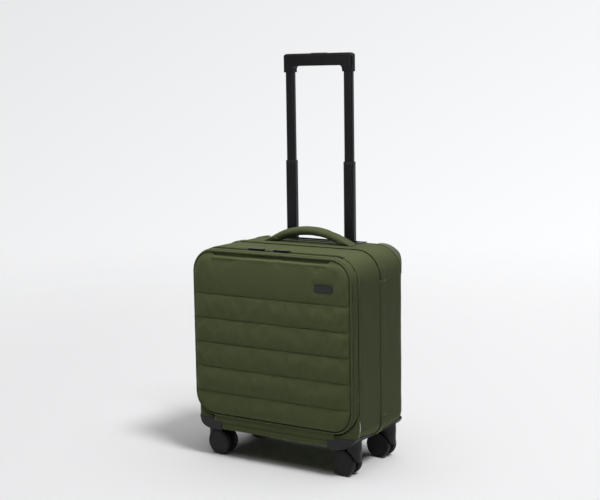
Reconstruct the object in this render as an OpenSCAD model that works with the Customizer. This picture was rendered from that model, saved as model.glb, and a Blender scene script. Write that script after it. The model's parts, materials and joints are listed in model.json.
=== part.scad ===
// Rolling laptop case: a soft four-wheeled case with a two-stage pull handle.
// X runs to the right, Y to the back and Z up; the floor is z = 0 and units are millimetres.
// The case splits at a main seam into a rear half and a front half, joined by a fabric hinge
// on the right. The front half carries a zipped flap that folds down at its bottom edge.

/* [Body] */
// Width of the fabric body
body_w = 390; // [384:1:396]
// Height of the top of the body above the floor
body_top = 447; // [443:1:451]
// Height of the underside of the body above the floor
body_bottom = 62; // [60:1:64]
// Radius of the two top corners
top_r = 52; // [48:1:56]
// Radius of the two bottom corners
bottom_r = 42; // [38:1:46]
// Radius of the upright edges at the back
back_r = 26; // [22:1:30]
// Thickness of the padded walls
wall = 5; // [4.5:0.5:6]
// Plane of the back face
back_y = 110; // [106:1:114]
// Plane where the two halves meet
seam_y = 1; // [-2:1:4]

/* [Front flap] */
// Plane of the piping around the front
piping_y = -104; // [-108:1:-102]
// Plane of the front zip
zip_y = -84; // [-86:1:-82]
// Width of the flap
flap_w = 386; // [380:1:388]
// Height of the top edge of the flap
flap_top = 445; // [441:1:446]
// Height of the bottom edge of the flap
flap_bottom = 90.5; // [90:0.5:94]
// Corner radius of the flap
flap_r = 50; // [46:1:54]
// Radius of the piping bead
piping_r = 2.8; // [2.4:0.1:3]
// Height of the lower lip of the pocket mouth
mouth_low = 431; // [426:1:432]
// Clear height of the pocket mouth
mouth_h = 6; // [5:0.5:7]

/* [Pull handle] */
// Distance from the middle to each tube
tube_x = 71.5; // [68:0.5:75]
// Plane through the tube axes
tube_y = 96.4; // [96:0.1:96.6]
// Size of the upper tube across and deep
upper_size = [20, 13]; // [12:0.5:21]
// Wall of every tube
tube_wall = 1.5; // [1.2:0.1:1.6]
// Gap left around each sliding tube
tube_gap = 0.4; // [0.3:0.05:0.5]
// Height of the top of the grip when pulled out
grip_top = 842; // [820:1:860]
// Travel of the lower stage
lower_travel = 194; // [180:1:194]
// Travel of the upper stage
upper_travel = 180; // [160:1:180]
// Travel of the release button
button_travel = 4; // [3:0.5:4]

/* [Casters] */
// Distance from the middle to each swivel axis
caster_x = 170; // [164:1:172]
// Plane of the two front swivel axes
front_caster_y = -64; // [-68:1:-60]
// Plane of the two rear swivel axes
rear_caster_y = 80; // [76:1:82]
// Wheel radius
wheel_r = 27; // [25:0.5:27.5]
// Width of one wheel
wheel_w = 11; // [9:0.5:12]
// Distance from the swivel axis back to the axle
trail = 18; // [16:0.5:20]
// Resting turn of the casters, in the order front left, front right, rear left, rear right
caster_turn = [176, -4, 172, -4]; // [-180:1:180]

/* [Hidden] */

$fn = 48;
fabric = [0.27, 0.29, 0.2];
lining = [0.3, 0.3, 0.31];
black = [0.09, 0.09, 0.1];
dark_grey = [0.17, 0.17, 0.18];
steel = [0.6, 0.6, 0.62];

gap = 0.1;                      // hairline between two pieces that are fixed together
skin = 0.05;                    // hairline under a thin cap on the body
big = 1000;
half_w = body_w / 2;
lap = 2;                        // how far the storm flap stands outside the body
proud = 1.2;                    // how far the corner guards stand outside the body
back_wall = 3;
back_half = 168;                // half width of the panel let into the back face
guard_back = back_y - 2;        // the guards end just short of the back face
zip_in = 4.2;                   // how far the zip tapes lie inside the body's outline
tape = 1.2;                     // thickness of a zip tape
zip_half = 5;                   // half of the groove that a zip lies in
teeth_gap = 0.2;                // half of the gap between two closed tapes
groove_front = zip_y - zip_half;
groove_back = zip_y + zip_half;
base_front = piping_y + 3;      // front of the base below the flap
base_room = 1.5;                // gap between the flap and the base around it
base_high = 128;                // top of the base beside the flap's lower corners
front_r = groove_back - base_front; // upright front edges of the base
flap_edge = seam_y + 21;        // line where the storm flap is sewn to the rear half
main_zip_y = seam_y + 9;
window_low = bottom_r + body_bottom + 6;
window_high = body_top - top_r - 6;
flap_front = piping_y + piping_r;
flap_wall = 3;
flap_rim = 4;                   // width of the flap's rim around its hollow
panel_inset = 3 + 2 * piping_r + 0.4;
panel_front = piping_y - 6;
badge_at = [131, 383.3];
badge_size = [42, 16];
badge_depth = 1.2;
mouth_half = 140;
pocket_half = 170;
pocket_low = 115;
divider_y = -41;
sheet = 2;                      // thickness of the thin inner panels
lining_y = 80;
laptop_half = 184;              // half width of the laptop sleeve
laptop_low = 108;
laptop_top = 330;
laptop_depth = 24;
strap_half = 16;
strap_low = 304;
strap_top = 352;

lower_in = [upper_size[0] + 2 * tube_gap, upper_size[1] + 2 * tube_gap];
lower_size = [lower_in[0] + 2 * tube_wall, lower_in[1] + 2 * tube_wall];
sleeve_in = [lower_size[0] + 2 * tube_gap, lower_size[1] + 2 * tube_gap];
sleeve_size = [sleeve_in[0] + 3.4, sleeve_in[1] + 3.4];
tube_r = 4;
cup_floor = 421;
cup_half = 91;
cup_front = 85;
cup_back = 108;
housing_low = 417;
housing_top = body_top + 1.6;
housing_half = 105;
housing_front = 79;
housing_wall = 6.8;             // wall of the recess at its two ends
housing_lip = 2.8;              // wall of the recess at its front
sleeve_low = 70;
lower_low = sleeve_low + lower_travel + 4;
lower_top = cup_floor + lower_travel - 3;
bush_h = 4.5;
bush_gap = 0.15;
pin_z = 546;
pin_r = 2.4;
pin_reach = 1;
slot_w = 6;
grip_low = grip_top - 39;
grip_bar_low = grip_top - 26;
grip_half = 84;
grip_ahead = 10.5;              // front of the grip's bar, measured from the tubes' plane
grip_behind = 8.5;
grip_leg = 7.8;                 // half depth of the grip's legs at their feet
grip_r = 10;                    // outer corners seen from the front
grip_edge = 5;                  // rounding of the upper edges and of the upright ones
grip_inner = tube_x - 11;
grip_inner_r = 6;
grip_foot = tube_x + 11.5;
upper_top = grip_top - 22;
upper_low = lower_low + upper_travel + 32;
bar_low = grip_top - 16;
bar_h = 3.6;
spring_low = grip_top - 23.7;
spring_h = bar_low - spring_low - 0.2;
spring_r = 3;
wire_r = 0.5;
turns = 5;
steps = 14;                     // rings in one turn of the spring
sides = 6;                      // sides of the spring's wire
rod_r = 1.5;
rod_low = upper_low + 12;
button_half = 17;
button_d = 11;
button_proud = 0.8;
rivet_r = 2;

arch_half = 108;                // half length of the carry handle
arch_rise = 34;                 // how far the carry handle rises above the body
arch_in_half = 75;
arch_in_rise = 14.5;
arch_y = 51;
arch_d = 26;

fork_top = 57.7;
fork_plate = 5;
guard_low = 58;
boss_r = 15.5;
boss_gap = 0.2;
stem_r = 5;
stem_top = 73;
running = 0.05;
axle_r = 2;
web_half = 5.5;                 // half thickness of the fork between the wheels
wheel_in = 6.5;                 // inner face of each wheel from the caster's middle plane

slider_l = 12;
slider_lift = 0.2;              // gap between a slider and its tape
slider_pin_x = 5.5;
slider_pin_z = 4.7;
slider_pin_r = 0.75;
pull_l = 37;
pull_half = 3.2;
pull_t = 3;
pull_neck = 4;                  // distance from the pin to the thick part of a pull
neck_half = 2.3;
neck_t = 1.6;
flap_slider_x = [-22, -4];
main_slider_z = window_low + 48;

caster_y = [front_caster_y, front_caster_y, rear_caster_y, rear_caster_y];
caster_side = [-1, 1, -1, 1];

// ---- outlines and prisms ----

// Rounded rectangle in X and Z, symmetric in X
module outline(half, low, high, r_low, r_high) {
    translate([-half, low + r_low]) square([2 * half, high - low - r_low - r_high]);
    translate([-half + r_low, low]) square([2 * (half - r_low), r_low + 1]);
    translate([-half + r_high, high - r_high - 1]) square([2 * (half - r_high), r_high + 1]);
    for (s = [-1, 1]) {
        translate([s * (half - r_low), low + r_low]) circle(r = r_low);
        translate([s * (half - r_high), high - r_high]) circle(r = r_high);
    }
}

// An X-Z outline extruded from y0 back to y1
module along_y(y0, y1) {
    translate([0, y1, 0]) rotate([90, 0, 0]) linear_extrude(y1 - y0) children();
}

// A Y-Z outline extruded from x0 to x1
module along_x(x0, x1) {
    translate([x0, 0, 0]) rotate([90, 0, 90]) linear_extrude(x1 - x0) children();
}

// The body's cross-section, moved in by inset on every side
module body_slab(y0, y1, inset) {
    along_y(y0, y1)
        outline(half_w - inset, body_bottom + inset, body_top - inset,
            bottom_r - inset, top_r - inset);
}

module flap_slab(y0, y1, inset) {
    along_y(y0, y1)
        outline(flap_w / 2 - inset, flap_bottom + inset, flap_top - inset,
            flap_r - inset, flap_r - inset);
}

// Plan outline of the rear half, with rounded upright edges at its back
module plan(inset, edge) {
    half = half_w - inset;
    r = back_r - inset;
    linear_extrude(big) {
        translate([-half, -200]) square([2 * half, edge - r + 200]);
        translate([-half + r, 0]) square([2 * (half - r), edge]);
        for (s = [-1, 1]) translate([s * (half - r), edge - r]) circle(r = r);
    }
}

// The rear half as a full solid, moved in by inset
module rear_block(y0, inset) {
    intersection() {
        body_slab(y0, back_y - inset, inset);
        plan(inset, back_y - inset);
    }
}

// A thin cap over the rear half, which ends just short of the back face
module rear_cap() {
    difference() {
        rear_block(20, -proud);
        rear_block(19, -skin);
        span([-big, guard_back, 0], [big, big, big]);
    }
}

// A box from corner to corner
module span(low, high) {
    translate(low) cube(high - low);
}

// A band of the body's outline between two insets
module band(y0, y1, inset_out, inset_in) {
    difference() {
        body_slab(y0, y1, inset_out);
        body_slab(y0 - 1, y1 + 1, inset_in);
    }
}

module rounded_tube_2d(size, r) {
    square([size[0] - 2 * r, size[1]], center = true);
    square([size[0], size[1] - 2 * r], center = true);
    for (x = [-1, 1]) {
        for (y = [-1, 1]) {
            translate([x * (size[0] / 2 - r), y * (size[1] / 2 - r)]) circle(r = r);
        }
    }
}

// A solid bar with a rounded oblong section, standing on one tube axis
module oblong(side, size, r, z0, z1) {
    translate([side * tube_x, tube_y, z0]) linear_extrude(z1 - z0) rounded_tube_2d(size, r);
}

module hollow_tube(side, size_out, size_in, z0, z1) {
    difference() {
        oblong(side, size_out, tube_r + (size_out[0] - upper_size[0]) / 4, z0, z1);
        oblong(side, size_in, tube_r - 1, z0 - 1, z1 + 1);
    }
}

// Room for a lock pin on the inner side of one tube
module pin_slot(side, z0, z1) {
    reach = lower_size[0] / 2 + pin_reach + tube_gap;
    x_in = side * (tube_x - reach);
    x_mid = side * (tube_x - lower_size[0] / 2 + 1);
    span([min(x_in, x_mid), tube_y - slot_w / 2, z0],
        [max(x_in, x_mid), tube_y + slot_w / 2, z1]);
}

// ---- rear half ----

// Room for the two caster sockets of one half
module boss_holes(y, room) {
    for (s = [-1, 1]) translate([s * caster_x, y, 0]) cylinder(r = boss_r + room, h = stem_top + 8);
}

// Outline of the panel let into the back face
module back_slab(y0, y1, inset) {
    along_y(y0, y1)
        outline(back_half - inset, body_bottom + wall + inset, body_top - wall - inset,
            bottom_r - wall - inset, top_r - wall - inset);
}

module housing_room() {
    span([-cup_half - housing_wall - 0.2, cup_front - housing_lip - 0.2, housing_low],
        [cup_half + housing_wall + 0.2, back_y + 1, big]);
}

module rear_shell() {
    color(fabric) difference() {
        rear_block(flap_edge - 2, 0);
        intersection() {
            body_slab(0, back_y - back_wall, wall);
            plan(wall, back_y - back_wall);
        }
        back_slab(back_y - 10, back_y + 1, 0);
        housing_room();
        boss_holes(rear_caster_y, boss_gap);
    }
}

module back_panel() {
    color(fabric) difference() {
        back_slab(back_y - back_wall, back_y, gap);
        housing_room();
    }
}

module lining_panel() {
    color(lining) difference() {
        body_slab(lining_y, lining_y + sheet, wall + gap);
        boss_holes(rear_caster_y, 1);
    }
}

module handle_housing() {
    color(black) difference() {
        union() {
            span([-cup_half - housing_wall, cup_front - housing_lip, housing_low],
                [cup_half + housing_wall, back_y, housing_top]);
            span([-housing_half, housing_front, body_top + gap], [housing_half, back_y, housing_top]);
        }
        span([-cup_half, cup_front, cup_floor], [cup_half, cup_back, big]);
        for (s = [-1, 1]) {
            oblong(s, sleeve_in, tube_r + 1, housing_low - 1, cup_floor + 1);
            pin_slot(s, housing_low - 1, cup_floor + 1);
        }
    }
}

module tube_sleeves() {
    color(steel) for (s = [-1, 1]) {
        difference() {
            oblong(s, sleeve_size, tube_r + 2, sleeve_low, housing_low);
            oblong(s, sleeve_in, tube_r + 1, sleeve_low - 1, housing_low + 1);
            pin_slot(s, pin_z - lower_travel - 10, housing_low + 1);
        }
    }
}

module sleeve_bracket() {
    color(black) difference() {
        span([-tube_x - 22, cup_front - 1, body_bottom + wall + gap],
            [tube_x + 22, back_y - back_wall - gap, sleeve_low + 14]);
        for (s = [-1, 1]) {
            oblong(s, sleeve_size + [gap, gap], tube_r + 2, sleeve_low, sleeve_low + 20);
        }
        span([-tube_x + 22, cup_front - 2, sleeve_low], [tube_x - 22, back_y, sleeve_low + 20]);
    }
}

function chord_r(half, rise) = (half * half + rise * rise) / (2 * rise);

module carry_handle() {
    r_out = chord_r(arch_half, arch_rise);
    r_in = chord_r(arch_in_half, arch_in_rise);
    color(fabric) intersection() {
        along_y(arch_y - arch_d / 2, arch_y + arch_d / 2) difference() {
            translate([0, body_top + arch_rise - r_out]) circle(r = r_out, $fn = 180);
            translate([0, body_top + arch_in_rise - r_in]) circle(r = r_in, $fn = 180);
        }
        span([-arch_half - 5, 0, body_top + gap], [arch_half + 5, back_y, big]);
    }
}

module handle_plate() {
    color(dark_grey) span([-arch_half - 8, arch_y - 11, body_top - wall - 2.5],
        [arch_half + 8, arch_y + 11, body_top - wall - gap]);
}

// Moulded cap over an upper corner at the back
module upper_guard(side) {
    near = side * (half_w - top_r - 5);
    far = side * (half_w + 10);
    color(fabric) intersection() {
        rear_cap();
        span([min(near, far), 88, body_top - top_r - 5], [max(near, far), back_y + 10, big]);
    }
}

module upper_guard_left() { upper_guard(-1); }
module upper_guard_right() { upper_guard(1); }

// Socket that takes one caster's stem
module caster_boss(side, y) {
    translate([side * caster_x, y, guard_low]) cylinder(r = boss_r, h = stem_top + 3 - guard_low);
}

module stem_hole(side, y) {
    translate([side * caster_x, y, guard_low - 1])
        cylinder(r = stem_r + running, h = stem_top + 1.5 - guard_low);
}

module rear_guard(side) {
    near = side * 120;
    far = side * (half_w + 10);
    color(black) difference() {
        union() {
            intersection() {
                rear_cap();
                along_x(min(near, far), max(near, far))
                    polygon([[flap_edge + 0.5, 50], [flap_edge + 0.5, 71.5], [38, 74.5], [80, 81],
                        [back_y + 10, 86], [back_y + 10, 50]]);
            }
            caster_boss(side, rear_caster_y);
        }
        stem_hole(side, rear_caster_y);
    }
}

module rear_guard_left() { rear_guard(-1); }
module rear_guard_right() { rear_guard(1); }

// Fabric flap over the main zip: all round except the window on the left and the hinge
module storm_flap() {
    color(fabric) difference() {
        band(seam_y + 0.2, flap_edge, -lap, -0.2);
        span([-half_w - 10, 0, window_low], [-half_w + 20, 30, window_high]);
        span([half_w - 20, 0, window_low], [half_w + 10, 30, window_high]);
    }
}

module hinge_gusset() {
    color(fabric) intersection() {
        band(seam_y + 0.2, flap_edge, -lap, -0.2);
        span([half_w - 20, 0, window_low + gap], [half_w + 10, 30, window_high - gap]);
    }
}

module main_zip_rear() {
    color(black) band(main_zip_y + teeth_gap, flap_edge - 2.1, zip_in, zip_in + tape);
}

// ---- front half ----

// The front half up to y1, grown on every side, with rounded upright edges at its front
module front_block(y1, grow) {
    half = half_w + grow;
    edge = base_front - grow;
    r = front_r + grow;
    intersection() {
        body_slab(edge, y1, -grow);
        linear_extrude(big) {
            translate([-half, edge + r]) square([2 * half, 200]);
            translate([-half + r, edge]) square([2 * (half - r), 200]);
            for (s = [-1, 1]) translate([s * (half - r), edge + r]) circle(r = r);
        }
    }
}

module front_shell() {
    color(fabric) difference() {
        union() {
            band(groove_back, seam_y - 0.4, 0, wall);
            difference() {
                front_block(groove_back + 1, 0);
                flap_slab(base_front - 1, groove_back + 2, -base_room);
                span([-big, -big, base_high], [big, 0, big]);
            }
        }
        boss_holes(front_caster_y, boss_gap);
    }
}

module divider_panel() {
    color(lining) body_slab(divider_y, divider_y + sheet + 1, wall + gap);
}

module laptop_sleeve() {
    face = divider_y - laptop_depth;
    color(lining) difference() {
        span([-laptop_half, face, laptop_low], [laptop_half, divider_y - gap, laptop_top]);
        span([-laptop_half + sheet, face + sheet, laptop_low + sheet],
            [laptop_half - sheet, divider_y + 1, big]);
    }
}

module laptop_strap() {
    face = divider_y - laptop_depth - gap;
    color(black) difference() {
        span([-strap_half, face - sheet, strap_low], [strap_half, divider_y - gap, strap_top]);
        span([-strap_half - 1, face, strap_low - 1], [strap_half + 1, divider_y + 1, strap_top - sheet]);
    }
}

module front_guard(side) {
    near = side * 129;
    far = side * (half_w + 10);
    color(black) difference() {
        union() {
            intersection() {
                difference() {
                    front_block(-3, proud);
                    front_block(0, skin);
                }
                along_x(min(near, far), max(near, far))
                    polygon([[base_front - 5, 50], [base_front - 5, 85], [-80, 84.5], [-60, 81.5],
                        [-3, 75], [-3, 50]]);
            }
            caster_boss(side, front_caster_y);
        }
        stem_hole(side, front_caster_y);
    }
}

module front_guard_left() { front_guard(-1); }
module front_guard_right() { front_guard(1); }

module main_zip_front() {
    color(black) difference() {
        band(seam_y - 0.3, main_zip_y - teeth_gap, zip_in, zip_in + tape);
        span([half_w - 50, -10, 0], [half_w + 10, 40, big]);
    }
}

module shell_zip() {
    color(black) difference() {
        band(zip_y + teeth_gap, groove_back - gap, zip_in, zip_in + tape);
        span([-big, zip_y - 20, 0], [big, zip_y + 20, flap_bottom + flap_r]);
    }
}

// ---- front flap ----

module flap_frame() {
    color(fabric) difference() {
        flap_slab(flap_front, groove_front, 0);
        flap_slab(flap_front + flap_wall, groove_front - flap_wall, flap_rim);
        intersection() {
            flap_slab(flap_front - 1, flap_front + flap_wall + 1, flap_rim);
            span([-pocket_half, -big, pocket_low], [pocket_half, 0, mouth_low + mouth_h]);
        }
    }
}

module quilted_panel() {
    color(fabric) difference() {
        flap_slab(panel_front, flap_front - gap, panel_inset);
        span([-mouth_half - gap, -big, mouth_low], [mouth_half + gap, 0, big]);
    }
}

// One run of piping along the flap's outline
module front_piping() {
    inset = 3 + piping_r;
    half = flap_w / 2 - inset;
    low = flap_bottom + inset;
    high = flap_top - inset;
    r = flap_r - inset;
    color(fabric) for (s = [-1, 1]) {
        translate([s * half, piping_y, low + r]) cylinder(r = piping_r, h = high - low - 2 * r);
        for (z = [low, high]) {
            translate([-half + r, piping_y, z]) rotate([0, 90, 0])
                cylinder(r = piping_r, h = 2 * (half - r));
        }
        translate([s * (half - r), piping_y, high - r]) rotate([90, s > 0 ? 0 : -90, 0])
            rotate_extrude(angle = 90) translate([r, 0]) circle(r = piping_r);
        translate([s * (half - r), piping_y, low + r]) rotate([90, s > 0 ? 90 : 180, 0])
            rotate_extrude(angle = 90) translate([r, 0]) circle(r = piping_r);
    }
}

module badge() {
    r = 4.5;
    color(dark_grey) along_y(panel_front - badge_depth, panel_front)
        translate(badge_at) rounded_tube_2d(badge_size, r);
}

module flap_zip() {
    color(black) difference() {
        band(groove_front + gap, zip_y - teeth_gap, zip_in, zip_in + tape);
        span([-big, zip_y - 20, 0], [big, zip_y + 20, flap_bottom + flap_r]);
    }
}

// ---- zip sliders: x along the zip, z out of the tape ----

module zip_slider() {
    end = slider_l / 2;
    color(black) {
        linear_extrude(2.9)
            polygon([[-end, -2.4], [-end, 2.4], [-1, 2.8], [end, 4.2], [end, -4.2], [-1, -2.8]]);
        for (s = [-1, 1]) {
            span([slider_pin_x - 2.5, s * 3.2 - 0.6, 2], [slider_pin_x + 1.3, s * 3.2 + 0.6, 5.9]);
        }
        translate([slider_pin_x, -3.6, slider_pin_z]) rotate([-90, 0, 0])
            cylinder(r = slider_pin_r, h = 7.2);
    }
}

module zip_pull() {
    color(black) difference() {
        union() {
            translate([slider_pin_x, -neck_half, slider_pin_z]) rotate([-90, 0, 0])
                cylinder(r = slider_pin_r + 0.5, h = 2 * neck_half);
            span([slider_pin_x, -neck_half, slider_pin_z - neck_t / 2],
                [slider_pin_x + pull_neck + 1, neck_half, slider_pin_z + neck_t / 2]);
            span([slider_pin_x + pull_neck, -pull_half, slider_pin_z - pull_t / 2],
                [slider_pin_x + pull_l - pull_half, pull_half, slider_pin_z + pull_t / 2]);
            translate([slider_pin_x + pull_l - pull_half, 0, slider_pin_z - pull_t / 2])
                cylinder(r = pull_half, h = pull_t);
        }
        translate([slider_pin_x, -3, slider_pin_z]) rotate([-90, 0, 0])
            cylinder(r = slider_pin_r + running, h = 6);
    }
}

// Place of a slider on the top of the flap: the left one faces left
module on_flap(i) {
    translate([flap_slider_x[i], zip_y, body_top - zip_in + slider_lift])
        rotate([0, 0, i == 0 ? 180 : 0]) children();
}

// Place of the slider on the left side, facing down
module on_side() {
    translate([-half_w + zip_in - slider_lift, main_zip_y, main_slider_z])
        rotate([0, 90, 0]) mirror([0, 0, 1]) children();
}

module flap_slider_left() { on_flap(0) zip_slider(); }
module flap_pull_left() { on_flap(0) zip_pull(); }
module flap_slider_right() { on_flap(1) zip_slider(); }
module flap_pull_right() { on_flap(1) zip_pull(); }
module main_slider() { on_side() zip_slider(); }
module main_pull() { on_side() zip_pull(); }

// ---- pull handle ----

module lower_tube(side) {
    color(black) hollow_tube(side, lower_size, lower_in, lower_low, lower_top);
}

module lower_tube_left() { lower_tube(-1); }
module lower_tube_right() { lower_tube(1); }

module tube_bushes() {
    bush_in = upper_size + 2 * [bush_gap, bush_gap];
    for (s = [-1, 1]) color(black) hollow_tube(s, lower_size, bush_in, lower_top, lower_top + bush_h);
}

module lock_pins() {
    color(dark_grey) for (s = [-1, 1]) {
        translate([s * (tube_x - lower_size[0] / 2), tube_y, pin_z]) rotate([0, -s * 90, 0])
            cylinder(r = pin_r, h = pin_reach);
    }
}

module upper_tube(side) {
    inner = upper_size - [2 * tube_wall, 2 * tube_wall];
    color(black) {
        hollow_tube(side, upper_size, inner, upper_low, upper_top);
        for (z = [grip_low - 7.5, grip_low - 17.5]) {
            translate([side * tube_x, tube_y - upper_size[1] / 2 + 0.2, z]) rotate([90, 0, 0])
                cylinder(r = rivet_r, h = 0.3);
        }
    }
}

module upper_tube_left() { upper_tube(-1); }
module upper_tube_right() { upper_tube(1); }

// The grip seen from the front: an arch whose two ends slant inwards as they go down
module grip_front() {
    difference() {
        intersection() {
            outline(grip_half, grip_low - 20, grip_top, 1, grip_r);
            polygon([[-grip_foot, grip_low], [-grip_half - 1.5, grip_top + 1],
                [grip_half + 1.5, grip_top + 1], [grip_foot, grip_low]]);
        }
        outline(grip_inner, grip_low - 20, grip_bar_low, 1, grip_inner_r);
    }
}

// The grip seen from one end, with its upper edges rounded
module grip_end() {
    depth = grip_ahead + grip_behind;
    translate([tube_y - grip_ahead, grip_low - 1]) square([depth, grip_top - grip_edge - grip_low + 1]);
    translate([tube_y - grip_ahead + grip_edge, grip_low])
        square([depth - 2 * grip_edge, grip_top - grip_low]);
    for (y = [grip_edge - grip_ahead, grip_behind - grip_edge]) {
        translate([tube_y + y, grip_top - grip_edge]) circle(r = grip_edge);
    }
}

// The slant of the grip's legs, whose feet are thinner than the bar
module grip_slant() {
    front = tube_y - grip_ahead;
    back = tube_y + grip_behind;
    polygon([[tube_y - grip_leg, grip_low], [front, grip_bar_low - 2], [front - 1, grip_top + 1],
        [back + 1, grip_top + 1], [back, grip_bar_low], [tube_y + grip_leg, grip_low]]);
}

// The grip seen from above
module grip_plan() {
    size = [2 * grip_half, grip_ahead + grip_behind];
    translate([0, tube_y + (grip_behind - grip_ahead) / 2]) rounded_tube_2d(size, grip_edge);
}

module grip() {
    color(black) difference() {
        intersection() {
            along_y(tube_y - grip_ahead - 1, tube_y + grip_behind + 1) grip_front();
            along_x(-grip_half - 1, grip_half + 1) grip_end();
            along_x(-grip_half - 1, grip_half + 1) grip_slant();
            linear_extrude(big) grip_plan();
        }
        for (s = [-1, 1]) {
            oblong(s, upper_size + [gap, gap], tube_r, grip_low - 1, upper_top + gap);
            translate([s * tube_x, tube_y, upper_top - 2]) cylinder(r = rod_r + 0.5, h = 10);
        }
        span([-tube_x - 4, tube_y - 4, bar_low - button_travel - 0.3],
            [tube_x + 4, tube_y + 4, bar_low + bar_h + 0.3]);
        span([-button_half - 1, tube_y - button_d / 2 - 1, bar_low + bar_h - button_travel - 0.3],
            [button_half + 1, tube_y + button_d / 2 + 1, big]);
        translate([0, tube_y, spring_low]) cylinder(r = spring_r + 1.2, h = 10);
    }
}

module grip_button() {
    color(dark_grey) span([-button_half, tube_y - button_d / 2, bar_low + bar_h + gap],
        [button_half, tube_y + button_d / 2, grip_top + button_proud]);
}

module release_bar() {
    color(steel) {
        span([-tube_x - 2.5, tube_y - 3, bar_low], [tube_x + 2.5, tube_y + 3, bar_low + bar_h]);
        for (s = [-1, 1]) {
            translate([s * tube_x, tube_y, rod_low]) cylinder(r = rod_r, h = bar_low - rod_low + 1);
        }
    }
}

// Point k of ring i round the spring's wire
function ring_point(i, k) =
    let (a = 360 * i / steps, b = 360 * k / sides, rise = i / (turns * steps))
    [(spring_r + wire_r * cos(b)) * cos(a), (spring_r + wire_r * cos(b)) * sin(a),
     wire_r + (spring_h - 2 * wire_r) * rise + wire_r * sin(b)];

module button_spring() {
    rings = turns * steps;
    points = [for (i = [0 : rings]) for (k = [0 : sides - 1]) ring_point(i, k)];
    skin = [for (i = [0 : rings - 1]) for (k = [0 : sides - 1])
        let (n = (k + 1) % sides)
        [i * sides + k, (i + 1) * sides + k, (i + 1) * sides + n, i * sides + n]];
    first = [for (k = [0 : sides - 1]) k];
    last = [for (k = [0 : sides - 1]) rings * sides + sides - 1 - k];
    color(steel) translate([0, tube_y, spring_low + gap])
        polyhedron(points = points, faces = concat(skin, [first, last]), convexity = 8);
}

// ---- casters: local x points to the side that leads, the axle runs along local y ----

module at_caster(i) {
    translate([caster_side[i] * caster_x, caster_y[i], 0]) rotate([0, 0, caster_turn[i]]) children();
}

// The fork's leading face, seen from the front: a shield that closes between the wheels
module fork_face() {
    top = boss_r - 0.5;
    low = wheel_r + 3;
    side = [for (i = [0 : 6]) let (a = 15 * i)
        [web_half + (top - web_half) * sin(a), low + (fork_top - low) * (1 - cos(a))]];
    polygon(concat(side, [for (i = [6 : -1 : 0]) [-side[i][0], side[i][1]]]));
}

module caster_fork() {
    color(black) difference() {
        union() {
            translate([0, 0, fork_top - fork_plate]) cylinder(r = boss_r, h = fork_plate);
            translate([0, 0, fork_top - 1]) cylinder(r = stem_r, h = stem_top - fork_top + 1);
            // the web between the wheels
            along_y(-web_half, web_half) polygon([[-trail - 5, wheel_r - 5], [-trail + 4, wheel_r - 6],
                [6, wheel_r + 2], [13.5, 44], [14.5, fork_top - 2], [-12, fork_top - 2],
                [-trail - 6, wheel_r + 6]]);
            translate([-trail, -web_half, wheel_r]) rotate([-90, 0, 0])
                cylinder(r = 7.5, h = 2 * web_half);
            intersection() {
                translate([0, 0, wheel_r]) cylinder(r = boss_r - 0.5, h = fork_top - wheel_r - 2);
                along_x(-boss_r, boss_r) fork_face();
            }
        }
        for (s = [-1, 1]) {
            translate([-trail, s > 0 ? web_half : -web_half - 20, wheel_r]) rotate([-90, 0, 0])
                cylinder(r = wheel_r + 1, h = 20);
        }
        translate([-trail, -20, wheel_r]) rotate([-90, 0, 0]) cylinder(r = axle_r, h = 40);
    }
}

module caster_axle() {
    length = 2 * (wheel_in + wheel_w) - 3;
    color(steel) translate([-trail, -length / 2, wheel_r]) rotate([-90, 0, 0])
        cylinder(r = axle_r - 0.01, h = length);
}

// One wheel with a rounded tread, a blind bore and a groove round its closed outer face
module caster_wheel(s) {
    y0 = s > 0 ? wheel_in : -wheel_in - wheel_w;
    face = s > 0 ? wheel_w : 0;
    bore_end = wheel_in + wheel_w - 1.2;
    color(dark_grey) difference() {
        translate([-trail, y0, wheel_r]) rotate([-90, 0, 0]) rotate_extrude($fn = 72)
            polygon([[0, 0], [wheel_r - 2.5, 0], [wheel_r - 0.7, 0.7], [wheel_r, 2.5],
                [wheel_r, wheel_w - 2.5], [wheel_r - 0.7, wheel_w - 0.7],
                [wheel_r - 2.5, wheel_w], [0, wheel_w]]);
        translate([-trail, -bore_end, wheel_r]) rotate([-90, 0, 0])
            cylinder(r = axle_r + running, h = 2 * bore_end);
        translate([-trail, y0 + face - 0.6, wheel_r]) rotate([-90, 0, 0]) difference() {
            cylinder(r = wheel_r - 4.2, h = 1.2);
            translate([0, 0, -1]) cylinder(r = wheel_r - 5, h = 4);
        }
    }
}

module fork_front_left() { at_caster(0) caster_fork(); }
module fork_front_right() { at_caster(1) caster_fork(); }
module fork_rear_left() { at_caster(2) caster_fork(); }
module fork_rear_right() { at_caster(3) caster_fork(); }
module axle_front_left() { at_caster(0) caster_axle(); }
module axle_front_right() { at_caster(1) caster_axle(); }
module axle_rear_left() { at_caster(2) caster_axle(); }
module axle_rear_right() { at_caster(3) caster_axle(); }
module wheel_front_left_outer() { at_caster(0) caster_wheel(1); }
module wheel_front_left_inner() { at_caster(0) caster_wheel(-1); }
module wheel_front_right_outer() { at_caster(1) caster_wheel(-1); }
module wheel_front_right_inner() { at_caster(1) caster_wheel(1); }
module wheel_rear_left_outer() { at_caster(2) caster_wheel(-1); }
module wheel_rear_left_inner() { at_caster(2) caster_wheel(1); }
module wheel_rear_right_outer() { at_caster(3) caster_wheel(1); }
module wheel_rear_right_inner() { at_caster(3) caster_wheel(-1); }

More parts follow.
